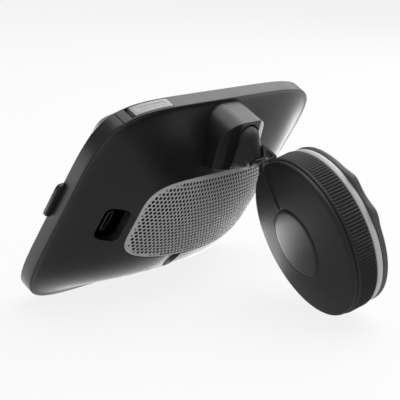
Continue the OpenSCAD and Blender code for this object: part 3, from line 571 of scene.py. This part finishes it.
def lobe_dish(t, swing):
    """Cutter for the cover's dish that the lobe swings into."""
    dish = lobe_part(t, swing, LOBE_ROOM)
    dish.data.transform(UPRIGHT.inverted() @ HINGE)
    return dish


def port_outline(grow):
    return rounded_outline(PORT_X, PORT_Z, PORT_W + 2 * grow, PORT_H + 2 * grow, PORT_ROUND + grow)


def rear_cover():
    """Domed shell, cut out for grille, port and button, with the thumb notch and the lobe's dish."""
    outer = [1, 0.995, 0.985] + [1 - 0.97 * (k / 46) ** 0.95 for k in range(1, 46)] + [0.03, 0.008]
    inner = [1, 0.96, 0.92, 0.86, 0.79, 0.71, 0.62, 0.5, 0.36, 0.2, 0.06]
    rings = [contour(s, COVER_IN + COVER_WALL, max(SEAM_Y, BAND + float(crown_height(s)) - COVER_WALL))
             for s in inner[::-1]]
    rings += [outline_ring(SEAM_COVER, y) for y in (SEAM_Y, 4.9, 5.4)]
    rings += [contour(s, COVER_IN, BAND + float(crown_height(s)) + 0.02) for s in outer]
    body = loft("rear_cover_shell", rings)
    carve(body, prism("grille_cut", grille_outline(0.14), 4.0, 40.0))
    carve(body, prism("pocket_cut", port_outline(0.1), 2.0, 30.0))
    carve(body, button_cut())
    carve(body, thumb_scoop(), *grip_lines())
    for t, swing in ((0.5, 2), (0.5, 10), (1.0, 2), (1.0, 10)):
        carve(body, lobe_dish(t, swing))
    return settle(body, UPRIGHT, "navigator", "case_plastic", "rear_cover", sharp=28)


def grille_holes():
    """Middle and radius of each hole: staggered rows, with smaller holes at the border."""
    half_w, half_h = GRILLE_W / 2, GRILLE_H / 2
    holes = []
    row = 0
    z = -half_h
    while z < half_h:
        x = -half_w + (HOLE_PITCH / 2 if row % 2 else 0)
        while x < half_w:
            reach = grille_share(x, z, 0.95)
            if reach < 0.995:
                holes.append((x, z + GRILLE_Z, HOLE_R if reach < 0.975 else HOLE_R * 0.6))
            x += HOLE_PITCH
        z += HOLE_PITCH * 0.866
        row += 1
    return holes


def speaker_grille():
    """Perforated sheet that follows the cover's dome."""
    holes = grille_holes()
    pts, loops = [], []
    for loop in (grille_outline(0.0, 220), grille_outline(-0.35, 220)):
        loops.append(list(range(len(pts), len(pts) + len(loop))))
        pts += loop
    for hx, hz, r in holes:
        loops.append(list(range(len(pts), len(pts) + HOLE_SIDES)))
        pts += [(hx + r * c, hz + r * s) for c, s in round_way(HOLE_SIDES, 0.5)]
    edges = [(loop[k], loop[(k + 1) % len(loop)]) for loop in loops for k in range(len(loop))]
    out = delaunay_2d_cdt([Vector(p) for p in pts], edges, [], 0, 1e-6)
    flat = np.array([tuple(v) for v in out[0]])
    centres = np.array([(hx, hz) for hx, hz, _ in holes])
    radii = np.array([r for _, _, r in holes])
    faces = []
    for f in out[2]:
        c = flat[list(f)].mean(0)
        inside = grille_share(c[0], c[1] - GRILLE_Z) <= 1.0
        if inside and np.all(np.hypot(*(centres - c).T) > radii * 0.97):
            faces.append(list(f))
    y = cover_y(flat[:, 0], flat[:, 1])
    rim = np.array([grille_share(a, b - GRILLE_Z) for a, b in flat]) > 0.996
    mesh = bpy.data.meshes.new("speaker_grille_sheet")
    mesh.from_pydata([(a, c - (0.22 if r else 0.04), b) for (a, b), c, r in zip(flat, y, rim)], [], faces)
    sheet = bpy.data.objects.new("speaker_grille_sheet", mesh)
    bpy.context.scene.collection.objects.link(sheet)
    bm = bmesh.new()
    bm.from_mesh(mesh)
    bmesh.ops.recalc_face_normals(bm, faces=bm.faces)
    if sum(f.normal.y for f in bm.faces) < 0:
        bmesh.ops.reverse_faces(bm, faces=bm.faces)
    loose = [v for v in bm.verts if not v.link_faces]
    bmesh.ops.delete(bm, geom=loose, context="VERTS")
    bm.to_mesh(mesh)
    bm.free()
    thick = sheet.modifiers.new("thick", "SOLIDIFY")
    thick.thickness, thick.offset = SHEET_T, -1
    bake(sheet)
    return settle(sheet, UPRIGHT, "navigator", "grille_grey", "speaker_grille", sharp=40)


def port_pocket():
    """The port's pocket: a thin rounded wall, and a floor that ramps up beside the metal shell."""
    def lip(grow, sink):
        return [(x, float(cover_y(x, z)) - sink, z) for x, z in port_outline(grow)]

    def floor(grow):
        return [(x, 10.2 + 1.4 * min(1, max(0, (41.2 - x) / 2.4)), z) for x, z in port_outline(grow)]

    rings = [[(x, 6.6, z) for x, z in port_outline(0)]]
    rings += [lip(0, 0.25), lip(-0.12, 0.06), lip(-0.42, 0.02), lip(-0.72, 0.3)]
    rings += [floor(grow) for grow in (-0.9, -1.6, -2.6, -3.4)]
    cup = loft("port_pocket_cup", rings)
    carve(cup, block("shell_cut", (41.9, 5.0, -4.7), (45.1, 12.0, 3.5)))
    return settle(cup, UPRIGHT, "navigator", "case_plastic", "port_cup")


def band_top(x):
    """Height of the case's outline at one place across it."""
    return CASE_H / 2 * (1 - abs(2 * x / CASE_W) ** CORNER) ** (1 / CORNER)


def power_button():
    """Silver strip in the top band, with a long shallow groove."""
    start, length, steps = 30.15, 17.7, 30
    rings = []
    for k in range(steps + 1):
        t = k / steps
        x = start + length * t
        end = min(1.0, 8.0 * min(t, 1 - t) + 0.55)
        dish = max(0.0, min(1.0, (t - 0.06) / 0.06, (0.92 - t) / 0.08))
        top = band_top(x) + 0.22
        section = [(0.85, -4.0), (0.85, -0.30), (0.93, -0.08), (1.1, 0.0), (1.9, 0.0)]
        section += [(2.15, -0.05 * dish), (2.35, -0.17 * dish), (3.35, -0.17 * dish), (3.55, -0.05 * dish)]
        section += [(3.8, 0.0), (4.65, 0.0), (4.85, -0.08), (4.95, -0.30), (4.95, -4.0)]
        rings.append([(x, y, top + (h if h < -1 else h - 0.3 * (1 - end))) for y, h in section])
    strip = loft("power_button_strip", rings)
    return settle(strip, UPRIGHT, "power_button", "button_silver", "power_button")


def side_key():
    half = KEY_L / 2
    shape = [(-4.2, -half), (1.8, -half + 0.3), (2.2, -half + 0.7), (2.3, -half + 1.4),
             (2.3, half - 2.2), (2.0, half - 1.2), (1.4, half - 0.6), (-4.2, half)]
    key = prism("side_key_bar", [(CASE_W / 2 + x, KEY_Z + z) for x, z in shape], -0.3, 1.3)
    rounded_edges(key, 0.3)
    return settle(key, UPRIGHT, "side_key", "frame_plastic", "side_key")


# Mount socket and arm
def socket_housing():
    """Arched block on the cover: tilted crowned face, and the slot that the hinge works in."""
    half, top, r = HOUSING_HALF, HOUSING_TOP, HOUSING_ROUND
    bend = [math.radians(a) for a in range(0, 91, 5)]
    arc = [(half - r + r * math.cos(a), top - r + r * math.sin(a)) for a in bend]
    shape = [(half, 8.0)] + arc + [(-x, z) for x, z in arc[::-1]] + [(-half, 8.0)]
    body = prism("socket_housing_block", [(x + BALL.x, z) for x, z in shape], 4.0, 30.0)
    crown = [(14, 15.4), (half, 16.0), (9.2, 17.7), (5.6, 18.7)]
    crown = [(-14, -4), (14, -4)] + crown + [(-x, y) for x, y in crown[::-1]]
    face = loft("face", [[(x, y, z) for x, y in crown] for z in (-14.7, 40.0)])
    tilt = Matrix.Rotation(math.radians(HOUSING_TILT), 4, "X")
    face.data.transform(Matrix.Translation((BALL.x, 0, BALL.z)) @ tilt)
    carve(body, face, how="INTERSECT")
    slot_r, out = 6.6, 15.0
    bowl = [math.radians(a) for a in range(0, 91, 6)]
    profile = [(slot_r * math.sin(a), -slot_r * math.cos(a)) for a in bowl] + [(slot_r, out), (0, out)]
    slot = turned_y("slot", profile, 96)
    slot.data.transform(Matrix.Translation(BALL))
    drop = block("drop", (BALL.x - 6.5, BALL.y - slot_r, 0), (BALL.x + 6.5, BALL.y + out, BALL.z))
    carve(slot, drop, how="UNION")
    carve(slot, block("cheeks", (BALL.x - 5.7, 0, 0), (BALL.x + 5.7, 60, 60)), how="INTERSECT")
    carve(body, slot)
    soften(body, 0.2, 4)
    return settle(body, UPRIGHT, "navigator", "case_plastic", "socket_housing", sharp=60)


def hinge_ball():
    """Smooth pear in the slot: the hinge ball, the lobe that hangs below it and the arm's seat."""
    ball = sphere("hinge_ball", BALL_R, (0, 0, 0))
    for k in range(1, 6):
        carve(ball, lobe_part(k / 5), how="UNION")
    carve(ball, turned_y("seat", [(0, 0), (5.95, 1.7), (2.6, 9.0), (0, 9.0)], 96), how="UNION")
    carve(ball, block("cheeks", (-5.4, -8, -14), (5.4, 9.0, 8)), how="INTERSECT")
    soften(ball, 0.22, 14)
    return settle(ball, HINGE, "hinge_barrel", "mount_plastic", "hinge_barrel", sharp=60)


def dome(r):
    """Height of the disc's face at a distance from its middle."""
    return -DOME_RISE * (1 - (r / DOME_R) ** 2)


def mount_arm():
    """Slim fork from the pear to the disc's rim, with its three-cornered window and its spine on the face."""
    def sheet(name, outline, half, x=0.0):
        return loft(name, [[(x + s * half, y, z) for y, z in outline] for s in (-1, 1)])

    stem = [(0, 5.0), (2.25, 5.0), (2.25, 9.15), (2.6, 9.2), (2.6, 9.8), (2.2, 10.0), (0, 10.0)]
    arm = turned_y("mount_arm_fork", stem, 48)
    fork = [(9.2, -2.2), (9.2, 2.85), (5.0, 4.85), (5.1, 5.5), (8.0, 6.6), (10.85, 7.5), (11.35, 7.1),
            (11.35, 2.2), (13.5, 2.2), (13.5, -0.1), (12.4, 0.2), (11.2, 1.0), (10.2, 0.6), (9.9, -2.2)]
    carve(arm, sheet("fork", fork, 2.0), how="UNION")
    carve(arm, sheet("window", [(7.4, 4.95), (10.4, 6.1), (10.4, 3.2)], 9.0))
    soften(arm, 0.16, 5)
    rise = [(13.0, -0.35)]
    rise += [(y, 0.4 + dome(abs(DISC_REACH - y)) - 0.45) for y in np.linspace(14.0, 28.0, 12)]
    spine = sheet("spine", rise + [(28.0, 0.2), (13.0, 0.8)], 0.7, 1.5)
    rounded_edges(spine, 0.3, 2)
    join(arm, spine)
    return settle(arm, ARM, "mount", "mount_plastic", "mount_arm", sharp=50)


# Mount disc
def face_plate():
    """Domed ring round the cap, with a small pin hole."""
    hole = CAP_R - 0.5
    profile = [(r, dome(r)) for r in np.linspace(CAP_R + 0.25, 26.6, 22)]
    profile += [(27.3, dome(27.3)), (27.9, 0.12), (28.3, 0.5), (28.5, 1.0), (28.5, 1.7), (28.3, 1.85)]
    profile += [(hole, 1.85), (hole, -1.9)]
    plate = turned("face_plate_dome", profile, joined=True)
    pin = turned("pin_hole", [(0, -4), (0.65, -4), (0.65, 0.5), (0, 0.5)], 24)
    pin.data.transform(Matrix.Translation((-12.0, -22.2, 0)))
    carve(plate, pin)
    return settle(plate, DISC, "mount", "mount_plastic", "face_plate")


def centre_cap():
    proud = 0.28
    profile = [(0, dome(0) - proud)] + [(r, dome(r) - proud) for r in np.linspace(1.0, 11.6, 12)]
    profile += [(11.9, dome(11.9) - 0.2), (12.15, dome(12.1) + 0.12), (12.35, dome(12.35) + 0.12)]
    profile += [(CAP_R, dome(CAP_R) + 0.4), (CAP_R, -1.5), (0, -1.5)]
    return settle(turned("centre_cap_disc", profile), DISC, "mount", "cap_plastic", "centre_cap")


def lock_ring():
    """Twist ring with fine ribs, and the web that carries it."""
    ribs = 150
    wave = [0.0, 0.0, 0.5, 1.0, 1.0, 0.5]
    way = round_way(ribs * len(wave))

    def ring(r, z, depth):
        radii = [r - depth * (1 - wave[k % len(wave)]) for k in range(len(way))]
        return [(q * c, q * s, z) for q, (c, s) in zip(radii, way)]

    levels = [(26.8, 2.0, 0), (28.2, 2.0, 0), (28.55, 2.15, 0), (28.7, 2.5, 0), (28.72, 3.0, 0.0),
              (28.95, 3.35, 0.42), (29.0, 3.7, 0.5), (29.0, 9.0, 0.5), (28.9, 9.4, 0.4),
              (28.6, 9.7, 0.0), (28.0, 9.8, 0), (26.8, 9.8, 0)]
    body = loft("lock_ring_knurl", [ring(*level) for level in levels], joined=True)
    web = turned("web", [(9.2, 7.0), (26.9, 7.0), (26.9, 8.2), (9.2, 8.2)], 96, joined=True)
    join(body, web)
    return settle(body, DISC, "lock_ring", "mount_plastic", "lock_ring", sharp=50)


def suction_cup():
    profile = [(12.3, 10.0), (28.0, 10.0), (28.4, 10.15), (CUP_R, 10.5), (CUP_R, 11.9), (28.4, 12.25),
               (28.0, 12.4), (22.0, 12.4), (17.0, 11.9), (12.3, 11.4)]
    cup = turned("suction_cup_flange", profile, joined=True)
    return settle(cup, DISC, "mount", "cup_white", "suction_cup")


def cup_lip():
    """Grey lip with two pull bumps side by side on its edge."""
    steps, bump, apart, spread = 360, 1.6, 13, math.radians(7.0)
    way = round_way(steps)

    def edge(grow, z):
        ring = []
        for k, (c, s) in enumerate(way):
            a = 2 * math.pi * k / steps
            r = CUP_R
            for side in (-1, 1):
                off = a - math.radians(apart * side)
                off = math.atan2(math.sin(off), math.cos(off))
                r += bump * math.exp(-(off / spread) ** 2)
            ring.append(((r + grow) * c, (r + grow) * s, z))
        return ring

    def inner(r, z):
        return [(r * c, r * s, z) for c, s in way]

    rings = [inner(22.1, 12.42), edge(-0.5, 12.42), edge(-0.15, 12.55), edge(0, 12.9), edge(0.05, 13.7)]
    rings += [edge(-0.1, 14.2), edge(-0.5, 14.58), inner(25.0, 14.6), inner(22.6, 14.4), inner(22.1, 13.9)]
    return settle(loft("cup_lip_ring", rings, joined=True), DISC, "mount", "lip_grey", "cup_lip")


# Lamps, floor, camera
def plain_floor():
    """Pale floor that keeps the shadow, with painted light and shade where the object mirrors it."""
    bpy.ops.mesh.primitive_plane_add(size=6.0, location=(0, 0, -0.0002))
    floor = bpy.context.object
    floor.name = "floor"
    m = bpy.data.materials.new("floor_white")
    m.use_nodes = True
    t = m.node_tree
    t.nodes.clear()
    out = add(t, "ShaderNodeOutputMaterial")
    matt = add(t, "ShaderNodeBsdfDiffuse", Color=(0.86, 0.86, 0.86, 1))
    glow = add(t, "ShaderNodeEmission", Color=(1, 1, 1, 1), Strength=1.0)
    ray = add(t, "ShaderNodeLightPath")
    at = add(t, "ShaderNodeTexCoord")

    def ramp(way, *values):
        along = add(t, "ShaderNodeVectorMath", operation="DOT_PRODUCT")
        along.inputs[1].default_value = way
        part = span(t, *values)
        t.links.new(at.outputs["Object"], along.inputs[0])
        t.links.new(along.outputs["Value"], part.inputs["Value"])
        return part.outputs["Result"]

    def combine(how, a, b):
        both = add(t, "ShaderNodeMath", operation=how)
        t.links.new(a, both.inputs[0])
        t.links.new(b, both.inputs[1])
        return both.outputs[0]

    # Painted light: mirrored, the floor is dark before the object, light behind it and lightest along its lower
    # edge.
    edge = combine("MINIMUM", ramp((-0.6, -1.1, 0.0), 0.012, 0.055, 0.0, 2.6),
                   ramp((0.0, -1.0, 0.0), -0.01, 0.03, 0.0, 2.6))
    total = combine("ADD", ramp((-1.0, -1.2, 0.0), 0.0, 0.10, -0.62, 0.0), edge)
    power = add(t, "ShaderNodeMath", operation="MULTIPLY_ADD")
    power.inputs[2].default_value = 1.0
    t.links.new(total, power.inputs[0])
    t.links.new(ray.outputs["Is Glossy Ray"], power.inputs[1])
    t.links.new(power.outputs[0], glow.inputs["Strength"])
    share = add(t, "ShaderNodeMath", operation="MULTIPLY_ADD")
    share.inputs[1].default_value = 0.85
    t.links.new(ray.outputs["Is Camera Ray"], share.inputs[0])
    t.links.new(ray.outputs["Is Glossy Ray"], share.inputs[2])
    mix = add(t, "ShaderNodeMixShader")
    t.links.new(share.outputs[0], mix.inputs[0])
    t.links.new(matt.outputs[0], mix.inputs[1])
    t.links.new(glow.outputs[0], mix.inputs[2])
    t.links.new(mix.outputs[0], out.inputs[0])
    floor.data.materials.append(m)


def softbox(name, at, aim, size, watts):
    lamp = bpy.data.lights.new(name, "AREA")
    lamp.shape, lamp.size, lamp.size_y, lamp.energy = "RECTANGLE", size, size, watts
    obj = bpy.data.objects.new(name, lamp)
    obj.location = at
    obj.rotation_mode = "QUATERNION"
    obj.rotation_quaternion = (Vector(aim) - Vector(at)).to_track_quat("-Z", "Y")
    bpy.context.scene.collection.objects.link(obj)


def studio():
    """Two softboxes in a dim white room that the camera sees as plain white."""
    world = bpy.data.worlds.new("studio")
    bpy.context.scene.world = world
    world.use_nodes = True
    t = world.node_tree
    t.nodes.clear()
    out = add(t, "ShaderNodeOutputWorld")
    room = add(t, "ShaderNodeBackground", Color=(1, 1, 1, 1), Strength=0.25)
    white = add(t, "ShaderNodeBackground", Color=(1, 1, 1, 1), Strength=1.0)
    ray = add(t, "ShaderNodeLightPath")
    mix = add(t, "ShaderNodeMixShader")
    t.links.new(ray.outputs["Is Camera Ray"], mix.inputs[0])
    t.links.new(room.outputs[0], mix.inputs[1])
    t.links.new(white.outputs[0], mix.inputs[2])
    t.links.new(mix.outputs[0], out.inputs[0])
    softbox("top_box", (-0.1, 0.1, 0.9), (0, 0, 0.03), 0.9, 5.6)
    softbox("right_box", (-0.8, -0.05, 0.65), (0, 0, 0.03), 0.8, 4.5)


def camera():
    """Camera fitted to the photo, given in the upright case's frame."""
    right, up = Vector((-0.6045, 0.6651, 0.4385)), Vector((-0.1596, -0.6404, 0.7513))
    right, up = (lean @ right).normalized(), (lean @ up).normalized()
    back = right.cross(up).normalized()
    up = back.cross(right)
    eye = bpy.data.cameras.new("camera")
    eye.lens, eye.sensor_width, eye.clip_start = 108.0, 36.0, 0.01
    obj = bpy.data.objects.new("camera", eye)
    m = Matrix((right, up, back)).transposed().to_4x4()
    obj.matrix_world = Matrix.Translation(UPRIGHT @ Vector((335.1, 180.5, 215.0))) @ m
    bpy.context.scene.collection.objects.link(obj)
    bpy.context.scene.camera = obj


front_frame()
rear_cover()
speaker_grille()
port_pocket()
power_button()
side_key()
socket_housing()
hinge_ball()
mount_arm()
face_plate()
centre_cap()
lock_ring()
suction_cup()
cup_lip()
plain_floor()
studio()
camera()

scene = bpy.context.scene
scene.view_settings.view_transform = "Standard"
